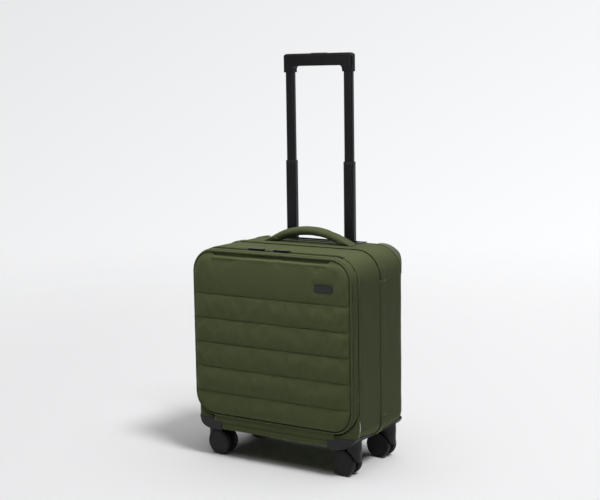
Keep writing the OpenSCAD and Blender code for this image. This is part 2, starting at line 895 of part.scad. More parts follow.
rear_shell();
back_panel();
lining_panel();
handle_housing();
tube_sleeves();
sleeve_bracket();
carry_handle();
handle_plate();
upper_guard_left();
upper_guard_right();
rear_guard_left();
rear_guard_right();
storm_flap();
hinge_gusset();
main_zip_rear();
front_shell();
divider_panel();
laptop_sleeve();
laptop_strap();
front_guard_left();
front_guard_right();
main_zip_front();
shell_zip();
flap_frame();
quilted_panel();
front_piping();
badge();
flap_zip();
flap_slider_left();
flap_pull_left();
flap_slider_right();
flap_pull_right();
main_slider();
main_pull();
lower_tube_left();
lower_tube_right();
tube_bushes();
lock_pins();
upper_tube_left();
upper_tube_right();
grip();
grip_button();
release_bar();
button_spring();
fork_front_left();
fork_front_right();
fork_rear_left();
fork_rear_right();
axle_front_left();
axle_front_right();
axle_rear_left();
axle_rear_right();
wheel_front_left_outer();
wheel_front_left_inner();
wheel_front_right_outer();
wheel_front_right_inner();
wheel_rear_left_outer();
wheel_rear_left_inner();
wheel_rear_right_outer();
wheel_rear_right_inner();
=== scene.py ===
"""Looks of a rolling laptop case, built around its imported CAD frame.

Lengths are written in millimetres, as in the part's source, and become metres when a mesh is made.
"""

import json
import math

import bpy
import numpy as np
from mathutils import Matrix, Vector, noise


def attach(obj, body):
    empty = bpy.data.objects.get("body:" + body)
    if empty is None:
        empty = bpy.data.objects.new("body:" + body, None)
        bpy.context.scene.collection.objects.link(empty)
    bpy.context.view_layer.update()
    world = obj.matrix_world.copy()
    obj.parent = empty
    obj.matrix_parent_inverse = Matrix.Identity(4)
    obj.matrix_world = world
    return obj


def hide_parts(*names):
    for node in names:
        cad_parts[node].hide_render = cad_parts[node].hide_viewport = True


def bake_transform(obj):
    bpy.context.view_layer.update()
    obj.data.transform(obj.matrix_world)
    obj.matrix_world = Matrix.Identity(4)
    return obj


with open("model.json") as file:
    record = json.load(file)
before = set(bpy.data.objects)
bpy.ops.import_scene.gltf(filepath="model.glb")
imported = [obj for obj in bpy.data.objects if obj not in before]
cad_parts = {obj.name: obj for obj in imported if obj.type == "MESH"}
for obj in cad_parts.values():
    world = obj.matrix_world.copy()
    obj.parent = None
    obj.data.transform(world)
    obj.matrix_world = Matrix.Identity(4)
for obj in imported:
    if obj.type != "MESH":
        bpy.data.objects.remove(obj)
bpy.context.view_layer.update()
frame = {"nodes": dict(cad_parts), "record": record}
MM = 0.001

# ---- sizes of the case ----

HALF_W, TOP, BOTTOM = 195.0, 447.0, 62.0
TOP_R, BOTTOM_R, BACK_R = 52.0, 42.0, 26.0
FLAP_EDGE = 22.0
ZIP_Y, MAIN_ZIP_Y, ZIP_IN = -84.0, 10.0, 4.2
GROOVE_FRONT, GROOVE_BACK = -89.0, -79.0
WINDOW_LOW, WINDOW_HIGH = 110.0, 389.0
FLAP_HALF, FLAP_LOW, FLAP_HIGH, FLAP_R = 193.0, 90.5, 445.0, 50.0
PIPING_Y, PIPING_IN, PIPING_R = -103.4, 3.8, 2.2
PANEL_IN = 6.4
MOUTH_LOW, MOUTH_HALF = 432.5, 140.0
BADGE_AT, BADGE_HALF = (131.0, 383.3), (21.0, 8.0)
BASE_FRONT, BASE_ROOM, BASE_HIGH, FRONT_R = -101.0, 1.5, 128.0, 22.0
QUILT_SEAMS = (144.0, 197.0, 249.0, 300.0, 351.0)
HOUSING_ROOM = ((-98.0, 82.0, 417.0), (98.0, 130.0, 500.0))  # box cut out for the handle housing
TUBE_X, RIVET_HEIGHTS = 71.5, (795.5, 785.5)

# ---- materials ----


class Look:
    """One procedural material, and short names for the nodes that it is made of."""

    def __init__(self, name, colour, roughness, **sockets):
        self.material = bpy.data.materials.new(name)
        self.material.use_nodes = True
        self.tree = self.material.node_tree
        self.shader = self.tree.nodes["Principled BSDF"]
        self.colour = colour
        self.set(self.shader.inputs["Base Color"], (*colour, 1.0))
        self.set(self.shader.inputs["Roughness"], roughness)
        for socket, value in sockets.items():
            self.set(self.shader.inputs[socket.replace("_", " ")], value)

    def set(self, socket, value):
        if isinstance(value, bpy.types.NodeSocket):
            self.tree.links.new(value, socket)
        else:
            socket.default_value = value

    def node(self, kind, inputs=(), **properties):
        node = self.tree.nodes.new("ShaderNode" + kind)
        for key, value in properties.items():
            setattr(node, key, value)
        for key, value in dict(inputs).items():
            self.set(node.inputs[key], value)
        return node

    def math(self, operation, a, b=0.0):
        node = self.node("Math", operation=operation)
        self.set(node.inputs[0], a)
        self.set(node.inputs[1], b)
        return node.outputs[0]

    def place(self, stretch=(1.0, 1.0, 1.0)):
        coords = self.node("TexCoord").outputs["Object"]
        return self.node("Mapping", {"Vector": coords, "Scale": stretch}).outputs[0]

    def noise(self, scale, detail=3.0, stretch=(1.0, 1.0, 1.0)):
        node = self.node("TexNoise", {"Vector": self.place(stretch), "Scale": scale, "Detail": detail})
        return node.outputs["Fac"]

    def weave(self, period):
        """Height from -1 to 1 of a plain weave, whichever way the cloth faces."""
        coords = self.node("TexCoord")
        at = self.node("SeparateXYZ", {"Vector": coords.outputs["Object"]}).outputs
        facing = self.node("SeparateXYZ", {"Vector": coords.outputs["Normal"]}).outputs
        wave = [self.math("SINE", self.math("MULTIPLY", at[i], 2 * math.pi / period)) for i in range(3)]
        total = None
        for i in range(3):
            share = self.math("MULTIPLY", facing[i], facing[i])
            cross = self.math("MULTIPLY", wave[(i + 1) % 3], wave[(i + 2) % 3])
            part = self.math("MULTIPLY", share, cross)
            total = part if total is None else self.math("ADD", total, part)
        return total

    def tint(self, factor, darker, lighter):
        """Colour between the base colour times darker and times lighter."""
        low = (*(c * darker for c in self.colour), 1.0)
        high = (*(min(1.0, c * lighter) for c in self.colour), 1.0)
        node = self.node("MixRGB", {"Fac": factor, "Color1": low, "Color2": high})
        self.set(self.shader.inputs["Base Color"], node.outputs[0])

    def bump(self, height, depth, strength=1.0, normal=None):
        inputs = {"Height": height, "Distance": depth, "Strength": strength}
        if normal is not None:
            inputs["Normal"] = normal
        node = self.node("Bump", inputs)
        self.set(self.shader.inputs["Normal"], node.outputs[0])


def cloth_look(name, colour, period, depth, roughness=0.85, sheen=0.46, spread=0.08):
    look = Look(name, colour, roughness, Specular_IOR_Level=0.18, Sheen_Weight=sheen, Sheen_Roughness=0.2)
    look.set(look.shader.inputs["Sheen Tint"], (0.95, 0.97, 0.9, 1.0))
    weave = look.weave(period)
    blotch = look.noise(28.0, 4.0)
    fibre = look.noise(2200.0, 2.0)
    mix = look.math("ADD", look.math("MULTIPLY", blotch, 0.9), look.math("MULTIPLY", weave, 0.14))
    mix = look.math("ADD", mix, look.math("MULTIPLY", fibre, 0.12))
    look.tint(mix, 1 - spread, 1 + spread)
    height = look.math("ADD", look.math("MULTIPLY", weave, 0.5), look.math("MULTIPLY", fibre, 0.6))
    look.bump(height, depth)
    return look.material


def plastic_look(name, colour, roughness, grain=0.00006, spread=0.08, soften=0.0006, **sockets):
    look = Look(name, colour, roughness, **sockets)
    look.tint(look.noise(60.0, 3.0), 1 - spread, 1 + spread)
    patch = look.math("MULTIPLY", look.noise(35.0, 3.0), 0.16)
    look.set(look.shader.inputs["Roughness"], look.math("ADD", patch, roughness - 0.08))
    soft = look.node("Bevel", {"Radius": soften}, samples=4).outputs[0]
    look.bump(look.noise(1500.0, 3.0), grain, normal=soft)
    return look.material


def brushed_look(name, colour, roughness, metallic):
    look = Look(name, colour, roughness, Metallic=metallic)
    lines = look.noise(900.0, 2.0, (1.0, 1.0, 0.03))
    look.tint(lines, 0.9, 1.1)
    soft = look.node("Bevel", {"Radius": 0.0004}, samples=4).outputs[0]
    look.bump(lines, 0.00002, normal=soft)
    return look.material


OLIVE = (0.064, 0.077, 0.031)
LOOKS = {
    "body_fabric": cloth_look("body_cloth", OLIVE, 0.0013, 0.00012),
    "quilt_fabric": cloth_look("quilt_cloth", OLIVE, 0.0011, 0.0001),
    "piping_fabric": cloth_look("piping_cloth", (0.066, 0.077, 0.034), 0.0009, 0.00008),
    "handle_fabric": cloth_look("handle_cloth", (0.064, 0.075, 0.035), 0.0012, 0.00012, sheen=0.34),
    "lining": cloth_look("lining_cloth", (0.07, 0.07, 0.074), 0.0006, 0.00005, roughness=0.6, sheen=0.1),
    "webbing": cloth_look("webbing_cloth", (0.016, 0.016, 0.017), 0.0024, 0.0003, spread=0.2),
    "zip_tape": cloth_look("zip_cloth", (0.012, 0.012, 0.012), 0.0009, 0.0001, spread=0.2),
    "zip_metal": plastic_look("zip_slider_black", (0.012, 0.012, 0.012), 0.35, Metallic=0.5),
    "badge_plate": plastic_look("badge_rim_black", (0.011, 0.011, 0.011), 0.45),
    "black_plastic": plastic_look("plastic_black", (0.01, 0.01, 0.01), 0.5),
    "inner_plastic": plastic_look("plastic_inner", (0.03, 0.03, 0.032), 0.6),
    "corner_cap": plastic_look("cap_olive", (0.058, 0.068, 0.031), 0.55, grain=0.0001),
    "guard_plastic": plastic_look(
        "guard_charcoal", (0.02, 0.021, 0.019), 0.6, grain=0.0001, Specular_IOR_Level=0.3
    ),
    "caster_plastic": plastic_look("caster_black", (0.009, 0.009, 0.009), 0.45, Specular_IOR_Level=0.3),
    "wheel_rubber": plastic_look(
        "wheel_grey", (0.014, 0.014, 0.0137), 0.62, grain=0.00008, Specular_IOR_Level=0.3
    ),
    "tube_coating": brushed_look("tube_black", (0.009, 0.009, 0.0095), 0.3, 0.0),
    "bare_aluminium": brushed_look("tube_bare", (0.55, 0.55, 0.57), 0.35, 1.0),
    "grip_plastic": plastic_look(
        "grip_black", (0.006, 0.006, 0.006), 0.5, grain=0.0001, soften=0.0012, Specular_IOR_Level=0.2
    ),
    "button_plastic": plastic_look("button_black", (0.02, 0.02, 0.021), 0.45),
    "pin_metal": plastic_look("pin_dark", (0.05, 0.05, 0.05), 0.35, Metallic=0.8),
    "steel": brushed_look("axle_steel", (0.5, 0.5, 0.52), 0.3, 1.0),
}
THREAD = cloth_look("thread", (0.055, 0.065, 0.029), 0.0007, 0.00008, sheen=0.2)
RIVET = plastic_look("rivet_grey", (0.05, 0.05, 0.05), 0.4)
# real thread on the quilt seams, coloured darker than the cloth to paint the shade in the seam grooves
DARK_SEAM_THREAD_PAINTED_SHADE = cloth_look("seam_thread_painted_shade", (0.02, 0.024, 0.01), 0.0007, 0.00008, sheen=0.1)
BADGE_FACE = brushed_look("badge_face_grey", (0.05, 0.052, 0.05), 0.38, 0.8)
TEETH = plastic_look("zip_teeth", (0.014, 0.014, 0.014), 0.4, soften=0.0002)

# ---- outlines: points of a rounded outline in X and Z, with their outward normals ----


def outline(half, low, high, r_low, r_high, pitch=5.0, turn=16):
    points, normals = [], []

    def line(a, b, normal):
        count = max(1, round(math.dist(a, b) / pitch))
        for i in range(count):
            t = i / count
            points.append((a[0] + (b[0] - a[0]) * t, a[1] + (b[1] - a[1]) * t))
            normals.append(normal)

    def arc(x, z, r, start):
        for i in range(turn):
            a = math.radians(start + 90.0 * i / turn)
            points.append((x + r * math.cos(a), z + r * math.sin(a)))
            normals.append((math.cos(a), math.sin(a)))

    x_low, x_high = half - r_low, half - r_high
    line((0, low), (x_low, low), (0, -1))
    arc(x_low, low + r_low, r_low, -90)
    line((half, low + r_low), (half, high - r_high), (1, 0))
    arc(x_high, high - r_high, r_high, 0)
    line((x_high, high), (-x_high, high), (0, 1))
    arc(-x_high, high - r_high, r_high, 90)
    line((-half, high - r_high), (-half, low + r_low), (-1, 0))
    arc(-x_low, low + r_low, r_low, 180)
    line((-x_low, low), (0, low), (0, -1))
    return np.array(points), np.array(normals)


BODY = outline(HALF_W, BOTTOM, TOP, BOTTOM_R, TOP_R)
FLAP = outline(FLAP_HALF, FLAP_LOW, FLAP_HIGH, FLAP_R, FLAP_R)


def ring(shape, y, side_in, end_in=None):
    """The outline at y, moved in by side_in at its sides and end_in at its top and bottom."""
    points, normals = shape
    end_in = side_in if end_in is None else end_in
    inset = side_in * normals[:, 0] ** 2 + end_in * normals[:, 1] ** 2
    flat = points - normals * inset[:, None]
    return np.column_stack([flat[:, 0], np.full(len(flat), y), flat[:, 1]])


def rounded(corners, r, count=4):
    """A closed profile whose corners are rounded."""
    out = []
    n = len(corners)
    for i in range(n):
        p = np.array(corners[i], float)
        before = np.array(corners[i - 1], float) - p
        after = np.array(corners[(i + 1) % n], float) - p
        cut = min(r, 0.45 * np.linalg.norm(before), 0.45 * np.linalg.norm(after))
        a = p + before / np.linalg.norm(before) * cut
        b = p + after / np.linalg.norm(after) * cut
        for k in range(count + 1):
            t = k / count
            out.append(tuple((1 - t) ** 2 * a + 2 * t * (1 - t) * p + t * t * b))
    return out


def densify(profile, step):
    """The same closed profile, with points no further than step apart."""
    out = []
    for i, a in enumerate(profile):
        b = profile[(i + 1) % len(profile)]
        count = max(1, math.ceil(math.dist(a, b) / step))
        out += [tuple(a[k] + (b[k] - a[k]) * j / count for k in (0, 1)) for j in range(count)]
    return out


def strip(y0, y1, low, high, r, count, step):
    """The profile of a strip from y0 to y1, between two depths inside an outline."""
    return densify(rounded([(y0, low), (y1, low), (y1, high), (y0, high)], r, count), step)


# ---- making pieces ----


def piece(name, verts, faces, body, slot, material=None, replaces=(), smooth=True):
    """A mesh object from points in millimetres, on its body unless that is None."""
    mesh = bpy.data.meshes.new(name)
    mesh.from_pydata([tuple(MM * c for c in v) for v in verts], [], faces)
    mesh.validate()
    obj = bpy.data.objects.new(name, mesh)
    bpy.context.scene.collection.objects.link(obj)
    mesh.materials.append(material or LOOKS[slot])
    outward(obj)
    mesh.polygons.foreach_set("use_smooth", [smooth] * len(mesh.polygons))
    if replaces:
        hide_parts(*replaces)
    if body:
        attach(obj, body)
    return obj


def outward(obj):
    """Turn all faces outwards."""
    bpy.context.view_layer.objects.active = obj
    obj.select_set(True)
    bpy.ops.object.mode_set(mode="EDIT")
    bpy.ops.mesh.select_all(action="SELECT")
    bpy.ops.mesh.normals_make_consistent(inside=False)
    bpy.ops.object.mode_set(mode="OBJECT")
    obj.select_set(False)


def apply_modifiers(obj):
    bpy.context.view_layer.update()
    evaluated = obj.evaluated_get(bpy.context.evaluated_depsgraph_get())
    mesh = bpy.data.meshes.new_from_object(evaluated)
    obj.modifiers.clear()
    obj.data = mesh


def subdivide(obj):
    obj.modifiers.new("smooth", "SUBSURF").levels = 1
    apply_modifiers(obj)


def cut_box(obj, low, high):
    """Take a box out of a closed piece."""
    corners = [(x, y, z) for x in (low[0], high[0]) for y in (low[1], high[1]) for z in (low[2], high[2])]
    faces = [(0, 1, 3, 2), (4, 6, 7, 5), (0, 4, 5, 1), (2, 3, 7, 6), (0, 2, 6, 4), (1, 5, 7, 3)]
    mesh = bpy.data.meshes.new("cutter")
    mesh.from_pydata([tuple(MM * c for c in v) for v in corners], [], faces)
    cutter = bpy.data.objects.new("cutter", mesh)
    bpy.context.scene.collection.objects.link(cutter)
    cut = obj.modifiers.new("cut", "BOOLEAN")
    cut.object = cutter
    cut.operation = "DIFFERENCE"
    cut.solver = "EXACT"
    apply_modifiers(obj)
    bpy.data.objects.remove(cutter)


def ruffle(obj, amount, size, where=None, seed=0.0):
    """Move each point along its normal by smooth noise: amount and size are in millimetres."""
    shift = Vector((seed, 1.7 * seed, -seed))
    moves = []
    for v in obj.data.vertices:
        p = v.co / MM
        share = 1.0 if where is None else where(p)
        moves.append(v.normal * (amount * share * MM * noise.noise(p / size + shift)))
    for v, move in zip(obj.data.vertices, moves):
        v.co += move


def loft(rings, closed_across=True, closed_along=True):
    """Points and quads of rings that follow one another, each a closed loop unless closed_along is false."""
    count = len(rings[0])
    verts = [tuple(p) for r in rings for p in r]
    faces = []
    steps = len(rings) if closed_across else len(rings) - 1
    for k in range(steps):
        m = (k + 1) % len(rings)
        for j in range(count if closed_along else count - 1):
            n = (j + 1) % count
            faces.append((k * count + j, k * count + n, m * count + n, m * count + j))
    if not closed_along:
        faces.append(tuple(k * count for k in range(len(rings))))
        faces.append(tuple(k * count + count - 1 for k in reversed(range(len(rings)))))
    return verts, faces


def run_of(shape, keep):
    """Indices of the one unbroken run of outline points for which keep(x, z) holds."""
    flags = [keep(x, z) for x, z in shape[0]]
    n = len(flags)
    start = next((i for i in range(n) if flags[i] and not flags[i - 1]), 0)
    out = []
    for i in range(n):
        if not flags[(start + i) % n]:
            break
        out.append((start + i) % n)
    return out


def band(name, shape, profile, body, slot, keep=None, **more):
    """A closed profile of (y, inset) swept along an outline, or along a part of it."""
    rings = [ring(shape, y, inset) for y, inset in profile]
    if keep:
        chosen = run_of(shape, keep)
        rings = [r[chosen] for r in rings]
    verts, faces = loft(rings, closed_along=keep is None)
    return piece(name, verts, faces, body, slot, **more)


def sdf(x, z, half, low, high, r_low, r_high):
    """How far inside a rounded outline a point is."""
    middle = (low + high) / 2
    r = r_low if z < middle else r_high
    qx = abs(x) - (half - r)
    qz = abs(z - middle) - ((high - low) / 2 - r)
    return r - math.hypot(max(qx, 0.0), max(qz, 0.0)) - min(max(qx, qz), 0.0)


def reach(z, half, low, high, r_low, r_high):
    """Half width of a rounded outline at height z."""
    if z < low + r_low:
        return half - r_low + math.sqrt(max(0.0, r_low**2 - (low + r_low - z) ** 2))
    if z > high - r_high:
        return half - r_high + math.sqrt(max(0.0, r_high**2 - (z - high + r_high) ** 2))
    return half


def spread(low, high, step, marks=(), fine=1.1):
    """Numbers from low to high about step apart, with three close together at each mark."""
    values = list(np.linspace(low, high, max(2, round((high - low) / step) + 1)))
    marks = [m for m in marks if low < m < high]
    values = [v for v in values if all(abs(v - m) > 1.6 * fine for m in marks)]
    for m in marks:
        values += [m - fine, m, m + fine]
    return sorted(values)


def rows_of(size, step, marks=()):
    """Heights for the rows of a rounded panel, closer together in its corners."""
    _, low, high, r_low, r_high = size
    arcs = [math.radians(a) for a in (3, 9, 16, 24, 33, 43, 54, 66, 78)]
    rows = [low] + [low + r_low * (1 - math.cos(a)) for a in arcs]
    rows += spread(low + r_low, high - r_high, step, marks)
    rows += [high - r_high * (1 - math.cos(a)) for a in reversed(arcs)] + [high]
    return [z for i, z in enumerate(rows) if i == 0 or z - rows[i - 1] > 0.05]


def slab_faces(nx, nz):
    """Faces of a closed slab: two grids of nx by nz points, joined round their borders."""
    layer = nx * nz
    faces = []
    for k in range(nz - 1):
        for j in range(nx - 1):
            a = k * nx + j
            faces.append((a, a + 1, a + nx + 1, a + nx))
            faces.append((layer + a, layer + a + nx, layer + a + nx + 1, layer + a + 1))
    border = list(range(nx)) + [k * nx + nx - 1 for k in range(1, nz)]
    border += [(nz - 1) * nx + j for j in range(nx - 2, -1, -1)] + [k * nx for k in range(nz - 2, 0, -1)]
    for a, b in zip(border, border[1:] + border[:1]):
        faces.append((a, layer + a, layer + b, b))
    return faces


def plate(size, front, back, step=8.0, z_marks=(), x_marks=(), shape=None):
    """A closed panel with a rounded outline: front and back give y at (x, z).
    Columns squeeze together as the outline narrows. shape(x, z) may move a point in the panel's plane."""
    rows = rows_of(size, step, z_marks)
    half = size[0]
    columns = spread(-half, half, step, x_marks)
    edge = [-half, -half + 0.8, -half + 2.4, -half + 5.0]
    inner = [x for x in columns if abs(x) < half - 7.0]
    columns = [*edge, *inner, *(-x for x in reversed(edge))]
    verts = []
    for side in (front, back):
        for z in rows:
            squeeze = reach(z, *size) / half
            for x in columns:
                at = (x * squeeze, z) if shape is None else shape(x * squeeze, z)
                verts.append((at[0], side(*at), at[1]))
    return verts, slab_faces(len(columns), len(rows))


def roll(d, width):
    """Rises from 0 at an edge to 1 at that distance inside it, like the side of a cushion."""
    t = min(1.0, max(0.0, d / width))
    return math.sqrt(1.0 - (1.0 - t) ** 2)


def turned(r, past):
    """How far an arc of radius r has turned in at a distance past its start."""
    return r - math.sqrt(max(0.0, r * r - max(0.0, past) ** 2))


def smoothstep(a, b, v):
    """Rises smoothly from 0 at a to 1 at b."""
    t = min(1.0, max(0.0, (v - a) / (b - a)))
    return t * t * (3 - 2 * t)


def inflate(obj, held, pressure, slack, cap):
    """Swell a piece with cloth simulation: held(p) says which points stay, and cap limits each move."""
    group = obj.vertex_groups.new(name="held")
    fixed = [v.index for v in obj.data.vertices if held(v.co / MM)]
    group.add(fixed, 1.0, "REPLACE")
    cloth = obj.modifiers.new("cloth", "CLOTH")
    settings = cloth.settings
    settings.quality = 6
    settings.mass = 0.3
    settings.tension_stiffness = settings.compression_stiffness = 40.0
    settings.shear_stiffness = 20.0
    settings.bending_stiffness = 0.6
    settings.vertex_group_mass = "held"
    settings.shrink_min = settings.shrink_max = -slack
    settings.use_pressure = True
    settings.uniform_pressure_force = pressure
    settings.effector_weights.gravity = 0.0
    cloth.collision_settings.use_collision = False
    cloth.collision_settings.use_self_collision = False
    cloth.point_cache.frame_start = 1
    cloth.point_cache.frame_end = 20
    scene = bpy.context.scene
    for f in range(1, 21):
        scene.frame_set(f)
    evaluated = obj.evaluated_get(bpy.context.evaluated_depsgraph_get())
    moved = [v.co.copy() for v in evaluated.data.vertices]
    obj.modifiers.clear()
    obj.vertex_groups.clear()
    scene.frame_set(1)
    for v, co in zip(obj.data.vertices, moved):
        step = co - v.co
        far = step.length
        if far > 1e-9:
            v.co += step * (math.tanh(far / (cap * MM)) * cap * MM / far)


def resample(points, pitch, closed):
    """Places a pitch apart along a line of (point, normal), with the direction at each."""
    at = np.array([p for p, _ in points], float)
    up = np.array([n for _, n in points], float)
    if closed:
        at, up = np.vstack([at, at[:1]]), np.vstack([up, up[:1]])
    gaps = np.linalg.norm(np.diff(at, axis=0), axis=1)
    along = np.concatenate([[0.0], np.cumsum(gaps)])
    count = max(1, int(along[-1] / pitch))
    out = []
    for i in range(count):
        s = (i + 0.5) * along[-1] / count
        k = min(int(np.searchsorted(along, s, side="right")) - 1, len(gaps) - 1)
        t = (s - along[k]) / max(gaps[k], 1e-9)
        normal = up[k] * (1 - t) + up[k + 1] * t
        direction = (at[k + 1] - at[k]) / max(gaps[k], 1e-9)
        out.append((at[k] * (1 - t) + at[k + 1] * t, normal / np.linalg.norm(normal), direction))
    return out


def stitches(name, body, slot, runs, pitch=3.6, length=2.7, r=0.32, material=None):
    """Rows of small stitches, each a spindle that lies on the cloth."""
    verts, faces = [], []
    for points, closed in runs:
        for at, up, along in resample(points, pitch, closed):
            side = np.cross(up, along)
            base = len(verts)
            verts.append(tuple(at - along * length / 2 - up * r * 0.6))
            for s in (-0.3, 0.3):
                for a in (0.25, 0.75, 1.25, 1.75):
                    c, d = math.cos(math.pi * a), math.sin(math.pi * a)
                    verts.append(tuple(at + along * length * s + side * r * 1.3 * c + up * r * d))
            verts.append(tuple(at + along * length / 2 - up * r * 0.6))
            for j in range(4):
                n = (j + 1) % 4
                faces.append((base, base + 1 + n, base + 1 + j))
                faces.append((base + 1 + j, base + 1 + n, base + 5 + n, base + 5 + j))
                faces.append((base + 5 + j, base + 5 + n, base + 9))
    return piece(name, verts, faces, body, slot, material=material or THREAD)


def ring_run(shape, y, inset, keep=None):
    """A line along an outline, for stitches."""
    points = ring(shape, y, inset)
    normals = np.column_stack([shape[1][:, 0], np.zeros(len(points)), shape[1][:, 1]])
    chosen = range(len(points)) if keep is None else run_of(shape, keep)
    return [(points[i], normals[i]) for i in chosen], keep is None


def face_run(a, b, y, facing, step=6.0):
    """A straight line in X and Z on a face, for stitches: y is a number or a function of (x, z)."""
    count = max(2, round(math.dist(a, b) / step))
    points = []
    for i in range(count + 1):
        x = a[0] + (b[0] - a[0]) * i / count
        z = a[1] + (b[1] - a[1]) * i / count
        points.append(((x, y(x, z) if callable(y) else y, z), (0.0, facing, 0.0)))
    return points, False


def tooth_row(name, body, centre, side, keep):
    """The teeth of one zip tape: side is -1 for the front tape and 1 for the rear one."""
    points, _ = ring_run(BODY, centre, ZIP_IN + 0.05, keep)
    pitch, verts, faces = 2.5, [], []
    for at, up, along in resample(points, pitch / 2, False)[(0 if side < 0 else 1) :: 2]:
        across = np.array([0.0, float(side), 0.0])
        base = len(verts)
        for depth in (0.25, 1.5):
            grow = 0.0 if depth > 1 else 0.12
            for s, reach_y in ((-1, 2.6), (1, 2.6), (1, -0.9), (-1, -0.9)):
                offset = along * s * (0.5 - grow) + across * (reach_y - math.copysign(grow, reach_y))
                verts.append(tuple(at + offset - up * (depth - 0.2)))
        faces += [(base, base + 1, base + 2, base + 3), (base + 4, base + 7, base + 6, base + 5)]
        for j in range(4):
            n = (j + 1) % 4
            faces.append((base + j, base + 4 + j, base + 4 + n, base + n))
    return piece(name, verts, faces, body, "zip_tape", material=TEETH, smooth=False)


def lining_sheet(name, size, front_y, back_y, body, amount, wave, seed, replaces=()):
    """A flat lining with a rounded outline, rippled by amount away from its edges."""
    verts, faces = plate(size, lambda x, z: front_y, lambda x, z: back_y, 10.0)
    obj = piece(name, verts, faces, body, "lining", replaces=replaces)
    ruffle(obj, amount, wave, lambda p: smoothstep(4, 40, sdf(p.x, p.z, *size)), seed)


# ---- rear half ----

REAR, FRONT, FLAP_BODY = "rear_half", "front_half", "front_flap"


def rear_body():
    """The padded rear shell: a skin that turns round the back edges, with its inner face."""
    rings = [ring(BODY, 20.1, 2.4), ring(BODY, 20.3, 1.0), ring(BODY, 21.2, 0.25)]
    for y in (24, 32, 42, 52, 62, 72, 80, 84, 88, 92, 96, 99, 102, 104.5, 106.5, 108, 109.2):
        rings.append(ring(BODY, y, turned(BACK_R, y - 84.0), turned(7.0, y - 103.0)))
    rings += [ring(BODY, 109.8, 25.0, 6.2), ring(BODY, 109.9, 29.0, 8.0)]
    rings += [ring(BODY, 109.7, 33.0, 10.0), ring(BODY, 108.4, 34.6, 10.8)]
    rings += [ring(BODY, 106.6, 34.0, 10.5), ring(BODY, 104.0, 24.0, 7.0)]
    for y in (100.0, 94.0, 88.0, 84.0, 70.0, 50.0, 30.0, 20.8):
        rings.append(ring(BODY, y, 5 + turned(21.0, y - 84.0), 5.0))
    verts, faces = loft(rings)
    obj = piece("rear_body_skin", verts, faces, REAR, "body_fabric", replaces=["rear_shell"])

    def soft(p):
        return smoothstep(84, 100, p.z) * smoothstep(24, 40, p.y)

    ruffle(obj, 0.5, 46.0, soft, 3.0)
    ruffle(obj, 0.16, 9.0, None, 5.0)
    cut_box(obj, *HOUSING_ROOM)


def back_panel():
    """The panel let into the back, sewn in channels over the handle tubes."""
    size = (157.5, 67.5, 441.5, 36.5, 46.5)
    lines = (-102.0, -41.0, 41.0, 102.0)

    def outer(x, z):
        d = sdf(x, z, *size)
        seam = min(abs(x - s) for s in lines)
        sunk = 1.3 * math.exp(-((seam / 2.2) ** 2)) + 0.5 * math.exp(-((seam / 7.0) ** 2))
        return 107.4 + 2.5 * roll(d, 6.0) - sunk * smoothstep(2, 10, d)

    verts, faces = plate(size, outer, lambda x, z: 106.9, 8.0, (), lines)
    obj = piece("back_panel_pad", verts, faces, REAR, "body_fabric", replaces=["back_panel"])
    ruffle(obj, 0.12, 11.0, None, 9.0)
    cut_box(obj, *HOUSING_ROOM)
    runs = [face_run((s, 78), (s, 412 if abs(s) < 100 else 430), lambda x, z: 108.5, 1.0) for s in lines]
    stitches("back_panel_stitches", REAR, "body_fabric", runs)


def side_lining(name, y0, y1, body):
    """The lining of the walls all round one half."""
    obj = band(name, BODY, strip(y0, y1, 5.15, 6.0, 0.3, 2, 12.0), body, "lining")
    ruffle(obj, 0.25, 24.0)


def rear_linings():
    side_lining("rear_side_lining", 21.5, 79.0, REAR)
    size = (188.5, 68.5, 440.5, 35.5, 45.5)
    stands_for = ["lining_panel"]
    lining_sheet("rear_lining_sheet", size, 80.1, 81.4, REAR, 0.9, 42.0, 2.0, stands_for)


def storm_flap():
    """The folded strip of cloth over the main zip, open at a window on the left."""
    profile = densify(rounded([(1.3, -0.25), (1.3, -1.9), (21.8, -1.9), (21.8, -0.25)], 0.9, 3), 4.0)

    def keep(x, z):
        return not (abs(x) > 190 and WINDOW_LOW < z < WINDOW_HIGH)

    def upper(x, z):
        return z > 240 and keep(x, z)

    def lower(x, z):
        return z <= 240 and keep(x, z)

    runs = []
    halves = (("storm_flap_upper", upper, 0.461, 4.0), ("storm_flap_lower", lower, 0.45, 5.0))
    for name, side, length, seed in halves:
        obj = band(name, BODY, profile, REAR, "body_fabric", side, replaces=["storm_flap"])
        ruffle(obj, 0.22, 13.0, None, seed)
        runs += [ring_run(BODY, y, -1.95, side) for y in (4.2, 18.9)]
    stitches("storm_flap_stitches", REAR, "body_fabric", runs)


def hinge_cloth():
    """The cloth that joins the two halves on the right."""
    profile = [(y, 1.4) for y in np.linspace(-7.0, 0.4, 8)]
    profile += [(1.2, 0.4), (1.3, -1.0), (1.8, -1.7)]
    profile += [(y, -1.9) for y in np.linspace(2.6, 21.0, 17)] + [(21.8, -1.2)]
    profile += [(21.8, -0.3)] + [(y, -0.15) for y in np.linspace(21.0, 3.0, 16)]
    profile += [(2.2, 0.6)] + [(y, 2.1) for y in np.linspace(1.4, -7.0, 9)]
    rows = np.linspace(WINDOW_LOW - 0.4, WINDOW_HIGH + 0.4, 60)
    rings = [[(HALF_W - inset, y, z) for z in rows] for y, inset in profile]
    verts, faces = loft(rings, closed_along=False)
    obj = piece("hinge_gusset_cloth", verts, faces, None, "body_fabric", replaces=["hinge_gusset"])
    ruffle(obj, 0.22, 13.0, lambda p: smoothstep(-2, 4, p.y), 4.5)
    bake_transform(obj)


